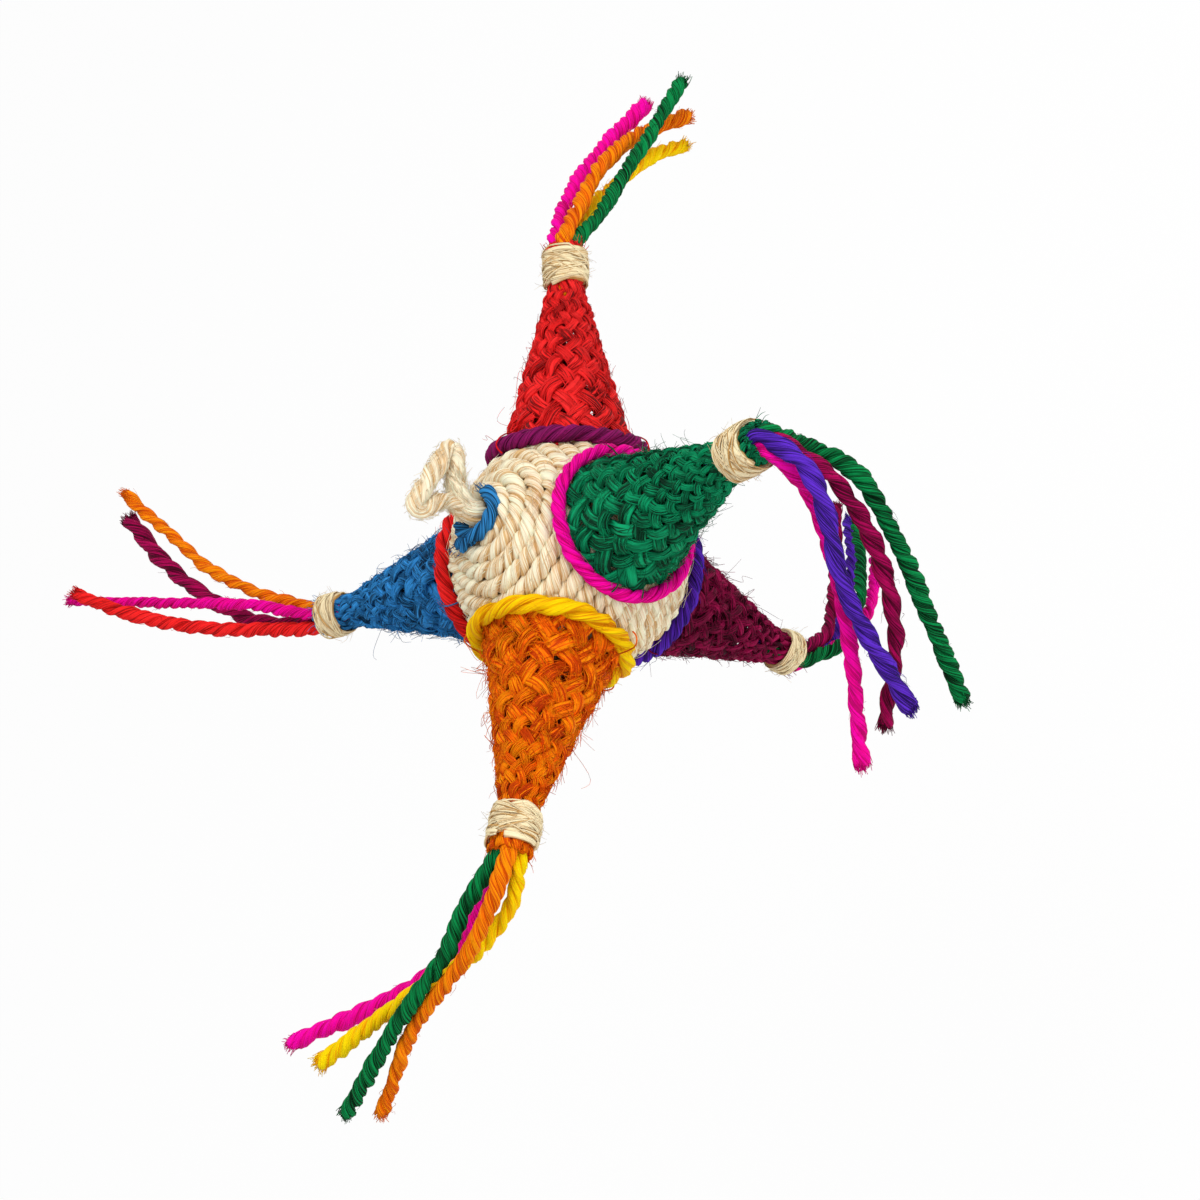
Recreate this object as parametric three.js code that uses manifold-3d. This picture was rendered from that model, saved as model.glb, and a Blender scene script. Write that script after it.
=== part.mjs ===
// A star-shaped hanging ornament of sisal: a rope-wound ball with five woven
// cones, each bound at its tip and ending in four twisted cords.
// Millimetres, +Z up. The origin is the inside of the hanging loop's crown.
import * as THREE from 'three';
import { mergeVertices } from 'three/addons/utils/BufferGeometryUtils.js';
import Module from 'manifold-3d';

const wasm = await Module();
wasm.setup();
const { Manifold, Mesh } = wasm;

const clearance = 0.3;

// ball: plain core under one layer of wound rope
const ballDiameter = 50;
const windingRope = 3;
const windingPitch = 3.45;
const windingSteps = 20;
const windingLead = 1.4;
const coreGap = 0.5;
const topHole = 6.6;
const bottomHole = 9;

// cones, one for each point of the star
const ringRope = 3.2;
const ringRadius = 15.8;
const coneWall = 1;
const coneSlope = 37.5;
const neckRadius = 4.4;
const neckMargin = 0.6;

// tip bindings, the bound cord roots and the tassel cords
const bindingTwine = 1.2;
const bindingPitch = 1.65;
const bindingTurns = 5;
const bindingSteps = 14;
const rootDepth = 14;
const rootLobe = 1.4;
const cordDiameter = 3;
const cordCircle = 2.5;
const cordFan = 3.6;
const cordLead = 4;
const bendReach = 4;

// hanging loop, its collar on the ball and the stub that it swings on
const pivotRise = 5.6;
const crownRise = 9.7;
const loopRope = 3.4;
const stemDiameter = 5;
const stemLength = 3;
const stemLeanDegrees = 70;
const collarRope = 3;
const collarRadius = 4.75;

const sisal = {
  cream: 0xf0e2be, red: 0xd72823, deepPurple: 0x6e144b, green: 0x0a734b,
  magenta: 0xf00096, orange: 0xf06e0a, yellow: 0xf5cd00, blue: 0x1e5f96,
  violet: 0x462396, purple: 0x7d0f4b,
};

// The points: compass direction and lift in degrees, cone and ring colours, the
// turn of the first cord's place round the tip, and the cords in order, each with
// its route from the ball's centre.
const points = [
  { name: 'green', turn: 0, lift: 10.2, ring: 'magenta', clock: 45, cords: [
    ['green', [[82, -5, -1.5], [79, -12.5, -17], [75.5, -21.5, -29.5], [70.5, -34.5, -47]]],
    ['violet', [[78.5, -6, 8.5], [77.5, -14, 0.5], [72, -24, -11], [68.5, -40, -34.5]]],
    ['magenta', [[72.5, -6.5, 2], [69, -17, -10], [63.5, -30, -21.5], [54, -48, -36]]],
    ['purple', [[74, -3, -4], [73, -12, -17], [68, -23, -29], [56.5, -39, -39.5]]],
  ] },
  { name: 'red', turn: 88, lift: 9.8, ring: 'deepPurple', clock: 45, cords: [
    ['magenta', [[-3.5, 82.5, 8.5], [-6, 96, 1.5], [-6.5, 107.5, -5.5], [-5, 119.5, -13]]],
    ['orange', [[1.5, 81.5, 8], [0.5, 94.5, 2], [-1, 107.5, -8.5], [2, 117, -20]]],
    ['green', [[4, 80, 4], [3.5, 92, -1.5], [4, 104, -7], [7, 121, -13]]],
    ['yellow', [[-3, 84, 2], [-5, 96, -7], [-5, 107, -16], [-4, 114, -25]]],
  ] },
  { name: 'blue', turn: 180.8, lift: 10.9, ring: 'red', clock: 0, cords: [
    ['red', [[-89, -0.5, 19], [-103, 2, 24], [-120, 7, 31.5], [-134.5, 13.5, 38]]],
    ['magenta', [[-84, 3, 23], [-96.5, 5, 28.5], [-115, 7.5, 36], [-130, 9.5, 42]]],
    ['orange', [[-84.5, 7, 18], [-98.5, 15, 25], [-109, 25, 31], [-119, 35, 38]]],
    ['purple', [[-90, 3, 15], [-104, 11, 22], [-115, 21, 28], [-124, 32, 33]]],
  ] },
  { name: 'orange', turn: 272.2, lift: 8.2, ring: 'yellow', clock: 45, cords: [
    ['orange', [[0, -80, 11], [-10.5, -89.5, 8.5], [-28.5, -99, 5], [-47, -113, -3]]],
    ['green', [[-6.5, -78.5, 12], [-14, -88, 10.5], [-28.5, -98, 8.5], [-54, -113, 1]]],
    ['magenta', [[-10.5, -75, 5], [-21.5, -82.5, 1], [-40, -90, 2], [-66.5, -98, 8.5]]],
    ['yellow', [[-1, -78, 5], [-13.5, -86.5, 4], [-30, -93, 6], [-55, -104, 8.5]]],
  ] },
  { name: 'purple', turn: 0, lift: -90, ring: 'violet', clock: 0, cords: [
    ['purple', [[0, 9, -76], [-3, 21, -80], [-6, 34, -83], [-10, 47, -86]]],
    ['green', [[4.5, 6, -77], [4.5, 17, -81], [1, 30, -84], [-4.5, 42, -87.5]]],
    ['magenta', [[1, 4, -82], [1, 17, -87], [-2.5, 30, -92.5], [-8, 44, -97]]],
    ['violet', [[-5, 9, -82], [-6.5, 23, -87.5], [-10, 36, -92], [-15.5, 49, -95.5]]],
  ] },
];

// The eye of the hanging loop, in the YZ plane from the pivot: from the stem to the low
// corner, over the crown to the high corner and back to the stem.
const eyeRoute = [[1.2, 1], [5.5, 1.4], [10, 1.6], [12.6, 2.6], [13, 4.6], [11, 6.5], [6.5, 8.6],
  [1, 11.2], [-2.6, 12.8], [-5.2, 11.6], [-5, 8.8], [-3.4, 5.4], [-1.8, 1.8]];

// sizes that follow from the ones above
const ballRadius = ballDiameter / 2;
const windingRadius = ballRadius - windingRope / 2;
const coreRadius = ballRadius - windingRope - coreGap;
const seatRadius = ballRadius + clearance;
const ringHeight = Math.sqrt((seatRadius + ringRope / 2) ** 2 - ringRadius ** 2);
const coneBase = ringRadius - ringRope / 2 - clearance;
const coneFoot = Math.sqrt(seatRadius ** 2 - (coneBase - coneWall) ** 2);
const neckBore = neckRadius - coneWall;
const neckFoot = coneFoot + coneSlope;
const bindingLength = bindingTurns * bindingPitch + bindingTwine;
const rimHeight = neckFoot + bindingLength + 2 * neckMargin;
const bindingFoot = neckFoot + neckMargin + bindingTwine / 2;
const bindingRadius = neckRadius + clearance + bindingTwine / 2;
const sweepRadius = Math.hypot(bendReach, cordCircle + cordDiameter / 2) + clearance;
const hingeHeight = rimHeight + Math.sqrt(sweepRadius ** 2 - neckBore ** 2);
const cordFoot = hingeHeight - bendReach;
const pivotHeight = ballRadius + pivotRise;
const hangHeight = pivotHeight + crownRise;
const collarHeight = Math.sqrt((seatRadius + collarRope / 2) ** 2 - collarRadius ** 2);
const stubRadius = (Math.min(topHole, 2 * collarRadius - collarRope) / 2) - clearance;
const stubFoot = coreRadius + clearance;
const stubTop = pivotHeight - stemDiameter / 2 - clearance;

const ornament = new THREE.Group();
ornament.name = 'sisal_star_ornament';
const star = new THREE.Group();
star.position.z = -hangHeight;
ornament.add(star);

function addPiece(parent, name, geometry, colour) {
  const material = new THREE.MeshStandardMaterial({ color: sisal[colour], roughness: 0.85, metalness: 0 });
  const mesh = new THREE.Mesh(geometry, material);
  mesh.name = name;
  parent.add(mesh);
  return mesh;
}

// A round section carried along a list of centres, with closed ends. Each centre has
// an outward direction that keeps the section from turning.
function windTube(centres, outward, diameter, sides) {
  const positions = [];
  const faces = [];
  const last = centres.length - 1;
  centres.forEach((centre, i) => {
    const ahead = centres[Math.min(i + 1, last)].clone().sub(centres[Math.max(i - 1, 0)]).normalize();
    const across = new THREE.Vector3().crossVectors(outward[i], ahead).normalize();
    const up = new THREE.Vector3().crossVectors(ahead, across);
    for (let k = 0; k < sides; k++) {
      const angle = (2 * Math.PI * (k + 0.5)) / sides;
      const corner = centre.clone()
        .addScaledVector(across, (Math.cos(angle) * diameter) / 2)
        .addScaledVector(up, (Math.sin(angle) * diameter) / 2);
      positions.push(...corner.toArray());
    }
  });
  for (let i = 0; i < last; i++) {
    for (let k = 0; k < sides; k++) {
      const a = i * sides + k;
      const b = i * sides + ((k + 1) % sides);
      faces.push(a, b, a + sides, b, b + sides, a + sides);
    }
  }
  for (let k = 1; k < sides - 1; k++) {
    faces.push(0, k + 1, k);
    faces.push(last * sides, last * sides + k, last * sides + k + 1);
  }
  const geometry = new THREE.BufferGeometry();
  geometry.setAttribute('position', new THREE.Float32BufferAttribute(positions, 3));
  geometry.setIndex(faces);
  geometry.computeVertexNormals();
  return geometry;
}

// Adds a straight run of one rope diameter to both ends of a winding.
function straightEnds(centres, outward, diameter) {
  const last = centres.length - 1;
  const before = centres[0].clone().sub(centres[1]).setLength(diameter).add(centres[0]);
  const after = centres[last].clone().sub(centres[last - 1]).setLength(diameter).add(centres[last]);
  return [[before, ...centres, after], [outward[0], ...outward, outward[last]]];
}

// Least gap between a winding and itself, over points more than half a turn apart.
function reportGap(name, centres, diameter, steps) {
  let least = Infinity;
  for (let i = 0; i < centres.length; i++) {
    for (let j = i + Math.ceil(steps / 2); j < centres.length; j++) {
      least = Math.min(least, centres[i].distanceTo(centres[j]));
    }
  }
  console.log(`${name}: least gap to itself ${(least - diameter).toFixed(2)} mm`);
}

// The rope runs round the ball from pole to pole at a steady pitch. Its first and last
// turns step wider, to leave room for the straight ends.
function ballWinding() {
  const first = Math.asin((topHole / 2 + windingRope / 2) / windingRadius);
  const final = Math.PI - Math.asin((bottomHole / 2 + windingRope / 2) / windingRadius);
  const turns = ((final - first) * windingRadius - 2 * windingLead) / windingPitch;
  const count = Math.round(turns * windingSteps);
  const centres = [];
  const outward = [];
  for (let i = 0; i <= count; i++) {
    const t = (turns * i) / count;
    const leadIn = Math.sin((Math.PI / 2) * Math.min(t, 1));
    const leadOut = 1 - Math.cos((Math.PI / 2) * Math.max(t - turns + 1, 0));
    const polar = first + (windingPitch * t + windingLead * (leadIn + leadOut)) / windingRadius;
    const normal = new THREE.Vector3().setFromSphericalCoords(1, polar, 2 * Math.PI * t);
    normal.applyAxisAngle(new THREE.Vector3(1, 0, 0), Math.PI / 2);
    outward.push(normal);
    centres.push(normal.clone().multiplyScalar(windingRadius));
  }
  const [run, normals] = straightEnds(centres, outward, windingRope);
  reportGap('ball_winding', run, windingRope, windingSteps);
  return windTube(run, normals, windingRope, 6);
}

function tipBinding() {
  const count = bindingTurns * bindingSteps;
  const centres = [];
  const outward = [];
  for (let i = 0; i <= count; i++) {
    const angle = (2 * Math.PI * i) / bindingSteps;
    const normal = new THREE.Vector3(Math.cos(angle), Math.sin(angle), 0);
    const height = bindingFoot + (bindingPitch * i) / bindingSteps;
    outward.push(normal);
    centres.push(normal.clone().multiplyScalar(bindingRadius).setZ(height));
  }
  const [run, normals] = straightEnds(centres, outward, bindingTwine);
  reportGap('tip_binding', run, bindingTwine, bindingSteps);
  return windTube(run, normals, bindingTwine, 6);
}

function lathed(profile, segments) {
  const outline = profile.map(([radius, height]) => new THREE.Vector2(radius, height));
  return new THREE.LatheGeometry(outline, segments).rotateX(Math.PI / 2);
}

// Open at both ends: the foot sits on the ball and the neck holds the cord roots.
function wovenCone() {
  return lathed([
    [coneBase, coneFoot], [neckRadius, neckFoot], [neckRadius, rimHeight],
    [neckBore, rimHeight], [neckBore, neckFoot], [coneBase - coneWall, coneFoot], [coneBase, coneFoot],
  ], 28);
}

function solid(geometry) {
  const bare = geometry.clone();
  bare.deleteAttribute('normal');
  bare.deleteAttribute('uv');
  const merged = mergeVertices(bare, 1e-4);
  return new Manifold(new Mesh({
    numProp: 3,
    vertProperties: Float32Array.from(merged.attributes.position.array),
    triVerts: Uint32Array.from(merged.index.array),
  }));
}

function fromSolid(manifold) {
  const mesh = manifold.getMesh();
  const geometry = new THREE.BufferGeometry();
  geometry.setAttribute('position', new THREE.Float32BufferAttribute(mesh.vertProperties, 3));
  geometry.setIndex(Array.from(mesh.triVerts));
  geometry.computeVertexNormals();
  return geometry;
}

// The four cord ends, pressed together by the binding. Their outer end is hollowed by
// the sphere that the swinging cords sweep.
function cordRoots() {
  const offset = neckBore - clearance - rootLobe;
  const length = hingeHeight - sweepRadius / 2 - (rimHeight - rootDepth);
  let bundle = null;
  for (let k = 0; k < 4; k++) {
    const angle = (Math.PI / 2) * k;
    const lobe = Manifold.cylinder(length, rootLobe, rootLobe, 12)
      .translate([offset * Math.cos(angle), offset * Math.sin(angle), rimHeight - rootDepth]);
    bundle = bundle ? bundle.add(lobe) : lobe;
  }
  const core = Manifold.cylinder(length, offset, offset, 12).translate([0, 0, rimHeight - rootDepth]);
  const sweep = Manifold.sphere(sweepRadius, 24).translate([0, 0, hingeHeight]);
  return fromSolid(bundle.add(core).subtract(sweep));
}

function roundSection(diameter, sides) {
  const section = new THREE.Shape();
  for (let k = 0; k < sides; k++) {
    const angle = (2 * Math.PI * k) / sides;
    const place = [(Math.cos(angle) * diameter) / 2, (Math.sin(angle) * diameter) / 2];
    if (k === 0) section.moveTo(...place);
    else section.lineTo(...place);
  }
  section.closePath();
  return section;
}

function ropeAlong(route, diameter, sides, stepLength) {
  const path = new THREE.CatmullRomCurve3(route, false, 'centripetal');
  const steps = Math.round(path.getLength() / stepLength);
  return new THREE.ExtrudeGeometry(roundSection(diameter, sides), {
    steps, bevelEnabled: false, extrudePath: path,
  });
}

// Axes of a point: across it, up its side and out along it.
function pointAxes({ turn, lift }) {
  const a = THREE.MathUtils.degToRad(turn);
  const e = THREE.MathUtils.degToRad(lift);
  const along = new THREE.Vector3(Math.cos(e) * Math.cos(a), Math.cos(e) * Math.sin(a), Math.sin(e));
  const across = new THREE.Vector3(-Math.sin(a), Math.cos(a), 0);
  return { across, up: new THREE.Vector3().crossVectors(along, across), along };
}

function placeOnPoint(axes, angle, radius, height) {
  return axes.along.clone().multiplyScalar(height)
    .addScaledVector(axes.across, radius * Math.cos(angle))
    .addScaledVector(axes.up, radius * Math.sin(angle));
}

function addPoint(point) {
  const axes = pointAxes(point);
  const group = new THREE.Group();
  group.setRotationFromMatrix(new THREE.Matrix4().makeBasis(axes.across, axes.up, axes.along));
  star.add(group);
  const ring = new THREE.TorusGeometry(ringRadius, ringRope / 2, 8, 28).translate(0, 0, ringHeight);
  addPiece(group, `${point.name}_cone`, wovenCone(), point.name);
  addPiece(group, `${point.name}_base_ring`, ring, point.ring);
  addPiece(group, `${point.name}_tip_binding`, tipBinding(), 'cream');
  addPiece(group, `${point.name}_cord_roots`, cordRoots(), 'cream');
  point.cords.forEach(([colour, stops], k) => {
    const angle = THREE.MathUtils.degToRad(point.clock + 90 * k);
    const route = [
      placeOnPoint(axes, angle, cordCircle, cordFoot),
      placeOnPoint(axes, angle, cordFan, cordFoot + cordLead),
      ...stops.map((stop) => new THREE.Vector3(...stop)),
    ];
    const cord = ropeAlong(route, cordDiameter, 8, 2.5 * cordDiameter);
    addPiece(star, `${point.name}_cord_${colour}`, cord, colour);
  });
}

function addBall() {
  addPiece(star, 'ball_core', new THREE.SphereGeometry(coreRadius, 24, 14).rotateX(Math.PI / 2), 'cream');
  addPiece(star, 'ball_winding', ballWinding(), 'cream');
}

function addHanger() {
  const collar = new THREE.TorusGeometry(collarRadius, collarRope / 2, 8, 24).translate(0, 0, collarHeight);
  const stub = new THREE.CylinderGeometry(stubRadius, stubRadius, stubTop - stubFoot, 20)
    .rotateX(Math.PI / 2).translate(0, 0, (stubTop + stubFoot) / 2);
  const stem = new THREE.CapsuleGeometry(stemDiameter / 2, stemLength, 5, 16)
    .rotateX(Math.PI / 2).translate(0, 0, stemLength / 2)
    .rotateX(-THREE.MathUtils.degToRad(stemLeanDegrees)).translate(0, 0, pivotHeight);
  const eyePath = eyeRoute.map(([y, z]) => new THREE.Vector3(0, y, pivotHeight + z));
  const eye = ropeAlong(eyePath, loopRope, 10, 1.6);
  addPiece(star, 'loop_collar', collar, 'blue');
  addPiece(star, 'loop_stub', stub, 'cream');
  addPiece(star, 'hanging_loop', fromSolid(solid(stem).add(solid(eye))), 'cream');
}

addBall();
points.forEach(addPoint);
addHanger();

export default ornament;
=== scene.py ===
import bpy
import numpy as np
from mathutils import Matrix


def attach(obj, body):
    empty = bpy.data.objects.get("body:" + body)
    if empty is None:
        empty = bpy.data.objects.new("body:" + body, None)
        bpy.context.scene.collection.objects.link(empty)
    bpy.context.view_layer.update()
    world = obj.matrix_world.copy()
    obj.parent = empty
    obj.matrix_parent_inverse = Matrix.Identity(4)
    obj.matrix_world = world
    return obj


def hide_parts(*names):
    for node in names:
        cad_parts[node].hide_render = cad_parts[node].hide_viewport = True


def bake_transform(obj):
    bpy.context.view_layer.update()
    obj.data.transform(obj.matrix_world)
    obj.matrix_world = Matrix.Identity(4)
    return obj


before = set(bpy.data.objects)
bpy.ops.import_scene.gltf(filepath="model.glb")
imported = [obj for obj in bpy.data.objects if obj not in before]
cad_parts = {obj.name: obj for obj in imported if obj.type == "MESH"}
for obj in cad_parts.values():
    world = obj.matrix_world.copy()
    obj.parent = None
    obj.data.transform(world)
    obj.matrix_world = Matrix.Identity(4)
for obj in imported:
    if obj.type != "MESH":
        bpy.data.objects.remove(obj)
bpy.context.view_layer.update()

# Lengths below are in mm from the centre of the ball; makePiece turns them into metres
# in the frame, whose origin is the inside of the hanging loop's crown.
ballCentre = np.array([0.0, 0.0, -40.3])
fullTurn = 2 * np.pi


def toFrame(place):
    return tuple(float(x) for x in (np.asarray(place, float) + ballCentre) * 0.001)


# dyes of the sisal, sRGB 0 to 255
dyes = dict(
    cream=(248, 233, 203), twine=(240, 221, 180), red=(244, 32, 32), deepPurple=(122, 18, 84),
    green=(4, 112, 72), deepGreen=(2, 100, 50), magenta=(250, 0, 148), orange=(255, 108, 2),
    brightOrange=(252, 128, 2), yellow=(254, 203, 0), brightYellow=(255, 208, 0),
    plum=(138, 2, 66), blue=(42, 116, 174), violet=(76, 34, 162), purple=(126, 8, 58),
)


def linear(dye):
    # sRGB to linear light: divided by 12.92 when dark, else the 2.4 power curve
    v = np.array(dye, float) / 255
    return np.where(v <= 0.04045, v / 12.92, ((v + 0.055) / 1.055) ** 2.4)


class Shade:
    # one shader socket; operators on it add Math nodes
    def __init__(self, tree, socket=None):
        self.tree, self.socket = tree, socket

    def node(self, kind, settings=None, sockets=None, out=0):
        made = self.tree.nodes.new("ShaderNode" + kind)
        for key, value in (settings or {}).items():
            if key == "stops":
                ramp = made.color_ramp.elements
                while len(ramp) < len(value):
                    ramp.new(0.5)
                for stop, (place, colour) in zip(ramp, value):
                    stop.position, stop.color = place, (*[float(c) for c in colour], 1)
            else:
                setattr(made, key, value)
        for key, value in (sockets or {}).items():
            if isinstance(value, Shade):
                self.tree.links.new(value.socket, made.inputs[key])
            else:
                made.inputs[key].default_value = value
        return Shade(self.tree, made.outputs[out]) if made.outputs else None

    def maths(self, operation, a, b):
        return self.node("Math", {"operation": operation}, {0: a, 1: b})

    def __add__(self, other):
        return self.maths("ADD", self, other)

    def __radd__(self, other):
        return self.maths("ADD", other, self)

    def __sub__(self, other):
        return self.maths("SUBTRACT", self, other)

    def __mul__(self, other):
        return self.maths("MULTIPLY", self, other)


def emptyMaterial(name):
    material = bpy.data.materials.new(name)
    material.use_nodes = True
    material.node_tree.nodes.clear()
    return material, Shade(material.node_tree)


def fibreFinish(name, dye, look):
    # Fibres run along the strand: noise stretched along u and tight across v, both in mm,
    # moves the dye between a deep and a pale tone and lifts the bump.
    material, sheet = emptyMaterial(name)
    run = sheet.node("UVMap", {"uv_map": "fibreRun"})
    # tone: a strand's own tone, with painted shade in the grooves of ropes and bindings
    tone = sheet.node("Attribute", {"attribute_name": "tone"}, out="Fac")
    spot = sheet.node("TexCoord", out="Object")

    def streaks(alongScale, acrossScale, detail):
        drawn = sheet.node(
            "VectorMath", {"operation": "MULTIPLY"}, {0: run, 1: (alongScale, acrossScale, 1)}
        )
        return sheet.node(
            "TexNoise",
            {"noise_dimensions": "2D"},
            {"Vector": drawn, "Scale": 1.0, "Detail": detail, "Roughness": 0.6},
        )

    fine = streaks(look["fineRun"], look["fineness"], 2.0)
    broad = streaks(look["broadRun"], look["fineness"] * look["broadness"], 1.0)
    patch = sheet.node(
        "TexNoise", {}, {"Vector": spot, "Scale": look["patchScale"], "Detail": 2.0}
    )
    level = (
        0.5
        + (fine - 0.5) * look["streak"]
        + (broad - 0.5) * look["broad"]
        + (patch - 0.5) * look["patch"]
        + (tone - 0.5) * look["spread"]
    )
    base = linear(dye)
    deep = linear(look["deepTone"]) if "deepTone" in look else base * look["deep"]
    pale = np.clip(base * look["pale"], 0, look["palest"])
    colour = sheet.node(
        "ValToRGB", {"stops": [(0.0, deep), (0.5, base), (1.0, pale)]}, {"Fac": level}
    )
    height = fine + broad * look["broadBump"]
    bump = sheet.node(
        "Bump", {}, {"Strength": look["bump"], "Distance": look["bumpDepth"], "Height": height}
    )
    surface = sheet.node(
        "BsdfPrincipled",
        {},
        {
            "Base Color": colour,
            "Roughness": look["rough"] + (fine - 0.5) * look["roughSpread"],
            "Normal": bump,
            "Specular IOR Level": look["gloss"],
        },
    )
    sheet.node("OutputMaterial", {}, {"Surface": surface})
    return material


# streak, broad, patch and spread are how far the noises and a strand's tone, its own and any
# painted shade of grooves, move the colour; fineness counts the streaks across, and fineRun
# and broadRun along, for each mm
fibreLook = dict(
    fineness=3.6, fineRun=0.12, broadness=0.3, broadRun=0.06, patchScale=150.0, streak=4.4,
    broad=1.2, patch=0.5, spread=0.6, deep=0.4, pale=1.4, palest=0.93, rough=0.7,
    roughSpread=0.35, gloss=0.07, bump=0.8, bumpDepth=0.0005, broadBump=0.6,
)
# the woven cones are streakier, with a darker deep end; through the lining's low tone it
# gives the holes painted shade
coneLook = dict(fineness=2.8, streak=4.6, broad=1.8, spread=0.8, deep=0.16, pale=1.8)
# what single dyes change; with a deepTone the shaded side turns warm rather than dark
dyeLooks = dict(
    cream=dict(
        deepTone=(218, 177, 120), pale=1.12, fineness=3.0, streak=3.0, spread=0.9, gloss=0.15,
    ),
    twine=dict(deepTone=(196, 148, 82), pale=1.12, fineness=3.0, streak=2.6, spread=1.0),
    yellow=dict(deepTone=(230, 146, 0), pale=1.12, streak=3.0),
    brightYellow=dict(deepTone=(246, 164, 0), pale=1.1, streak=3.0),
    brightOrange=dict(deepTone=(206, 76, 0)), deepGreen=dict(deep=0.14, pale=2.0, streak=5.0),
    magenta=dict(deepTone=(188, 0, 104)), plum=dict(deep=0.24, pale=1.7, streak=5.0),
    violet=dict(deep=0.28, pale=1.6, streak=5.0),
)
finishes = {}


def finishFor(dyeName, **changes):
    # one material for each dye and look, made when first asked for
    key = dyeName + "".join(f"_{k}{v}" for k, v in sorted(changes.items()))
    if key not in finishes:
        name = f"sisal_{dyeName}_{len(finishes)}"
        look = {**fibreLook, **dyeLooks.get(dyeName, {}), **changes}
        finishes[key] = fibreFinish(name, dyes[dyeName], look)
    return finishes[key]


def batch(points, along, girth, tone):
    # tubes of one size: points (tubes, rings, sides, 3), along (tubes, rings), girth in mm
    return {"points": points, "along": along, "girth": girth, "tone": tone}


def makePiece(name, batches, material):
    # Ring i of a tube joins ring i + 1 by quads, and a flat face closes each end.
    # u is the run along the tube and v the way round it, both in mm.
    points, corners, sizes, uvs, tones, base = [], [], [], [], [], 0
    for part in batches:
        p = part["points"]
        tubeCount, rings, sides = p.shape[:3]
        index = base + np.arange(tubeCount * rings * sides).reshape(tubeCount, rings, sides)
        turned = np.roll(index, -1, axis=2)
        quads = np.stack(
            [index[:, :-1], turned[:, :-1], turned[:, 1:], index[:, 1:]], axis=-1
        )
        caps = np.stack([index[:, 0, ::-1], index[:, -1]], axis=1)
        corners += [quads.ravel(), caps.ravel()]
        sizes += [np.full(quads.size // 4, 4), np.full(2 * tubeCount, sides)]
        u = np.broadcast_to(part["along"][:, :, None], index.shape)
        v = part["girth"] * np.arange(sides + 1) / sides
        low, high = np.broadcast_to(v[:-1], u.shape), np.broadcast_to(v[1:], u.shape)
        here, there = slice(None, -1), slice(1, None)
        edges = ((here, low), (here, high), (there, high), (there, low))
        quadUv = np.stack([np.stack([u[:, k], side[:, k]], -1) for k, side in edges], axis=-2)
        flat = np.stack([u, low], -1)
        capUv = np.stack([flat[:, 0, ::-1], flat[:, -1]], axis=1)
        uvs += [quadUv.reshape(-1, 2), capUv.reshape(-1, 2)]
        tone = part["tone"].reshape(part["tone"].shape + (1,) * (3 - part["tone"].ndim))
        tones.append(np.broadcast_to(tone, index.shape).ravel())
        points.append(p.reshape(-1, 3))
        base += index.size
    points = (np.concatenate(points) + ballCentre) * 0.001
    corners, sizes = np.concatenate(corners), np.concatenate(sizes)
    mesh = bpy.data.meshes.new(name)
    mesh.vertices.add(len(points))
    mesh.vertices.foreach_set("co", points.astype(np.float32).ravel())
    mesh.loops.add(len(corners))
    mesh.loops.foreach_set("vertex_index", corners.astype(np.int32))
    mesh.polygons.add(len(sizes))
    starts = np.concatenate([[0], np.cumsum(sizes)[:-1]])
    mesh.polygons.foreach_set("loop_start", starts.astype(np.int32))
    mesh.polygons.foreach_set("use_smooth", np.ones(len(sizes), bool))
    mesh.update(calc_edges=True)
    uvMap = mesh.uv_layers.new(name="fibreRun")
    uvMap.data.foreach_set("uv", np.concatenate(uvs).astype(np.float32).ravel())
    toneMap = mesh.attributes.new("tone", "FLOAT", "POINT")
    toneMap.data.foreach_set("value", np.concatenate(tones).astype(np.float32))
    mesh.materials.append(material)
    made = bpy.data.objects.new(name, mesh)
    bpy.context.scene.collection.objects.link(made)
    return made


def unit(vectors):
    return vectors / np.maximum(np.linalg.norm(vectors, axis=-1, keepdims=True), 1e-9)


def runOf(line):
    # distance along a line of points, from its start
    steps = np.linalg.norm(np.diff(line, axis=0), axis=1)
    return np.concatenate([[0], np.cumsum(steps)])


def evenly(line, spacing):
    # the same line with its points at equal distances
    run = runOf(line)
    places = np.linspace(0, run[-1], max(int(round(run[-1] / spacing)), 6) + 1)
    return np.stack([np.interp(places, run, line[:, k]) for k in range(3)], axis=1)


def smoothLine(stops, spacing):
    # centripetal Catmull-Rom curve through the stops: each span is a cubic whose end
    # slopes come from the stops around it, weighted by the root of their distances
    p = np.asarray(stops, float)
    p = np.concatenate([[2 * p[0] - p[1]], p, [2 * p[-1] - p[-2]]])
    gap = np.sqrt(np.linalg.norm(np.diff(p, axis=0), axis=1))[:, None]
    a, b, c, d = p[:-3], p[1:-2], p[2:-1], p[3:]
    before, here, after = gap[:-2], gap[1:-1], gap[2:]
    slopeIn = ((b - a) / before - (c - a) / (before + here) + (c - b) / here) * here
    slopeOut = ((c - b) / here - (d - b) / (here + after) + (d - c) / after) * here
    t = np.linspace(0, 1, 80, endpoint=False)[None, :, None]
    b, c, i, o = (x[:, None] for x in (b, c, slopeIn, slopeOut))
    spans = b + i * t + (3 * (c - b) - 2 * i - o) * t**2 + (2 * (b - c) + i + o) * t**3
    return evenly(np.concatenate([spans.reshape(-1, 3), p[-2:-1]]), spacing)


def wander(rng, run, size, reach, shape=()):
    # slow random drift along a run: the mean of four sine waves with lengths near reach
    waves = rng.uniform(0.6, 1.6, (*shape, 4, 1)) / reach
    starts = rng.uniform(0, fullTurn, (*shape, 4, 1))
    return size * 2 * np.sin(fullTurn * waves * np.asarray(run)[..., None, :] + starts).mean(-2)


def steadyGuide(line):
    # the direction that the line's tangents point along least
    ahead = unit(np.gradient(line, axis=0))
    return np.linalg.svd(ahead, full_matrices=False)[2][-1]


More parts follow.
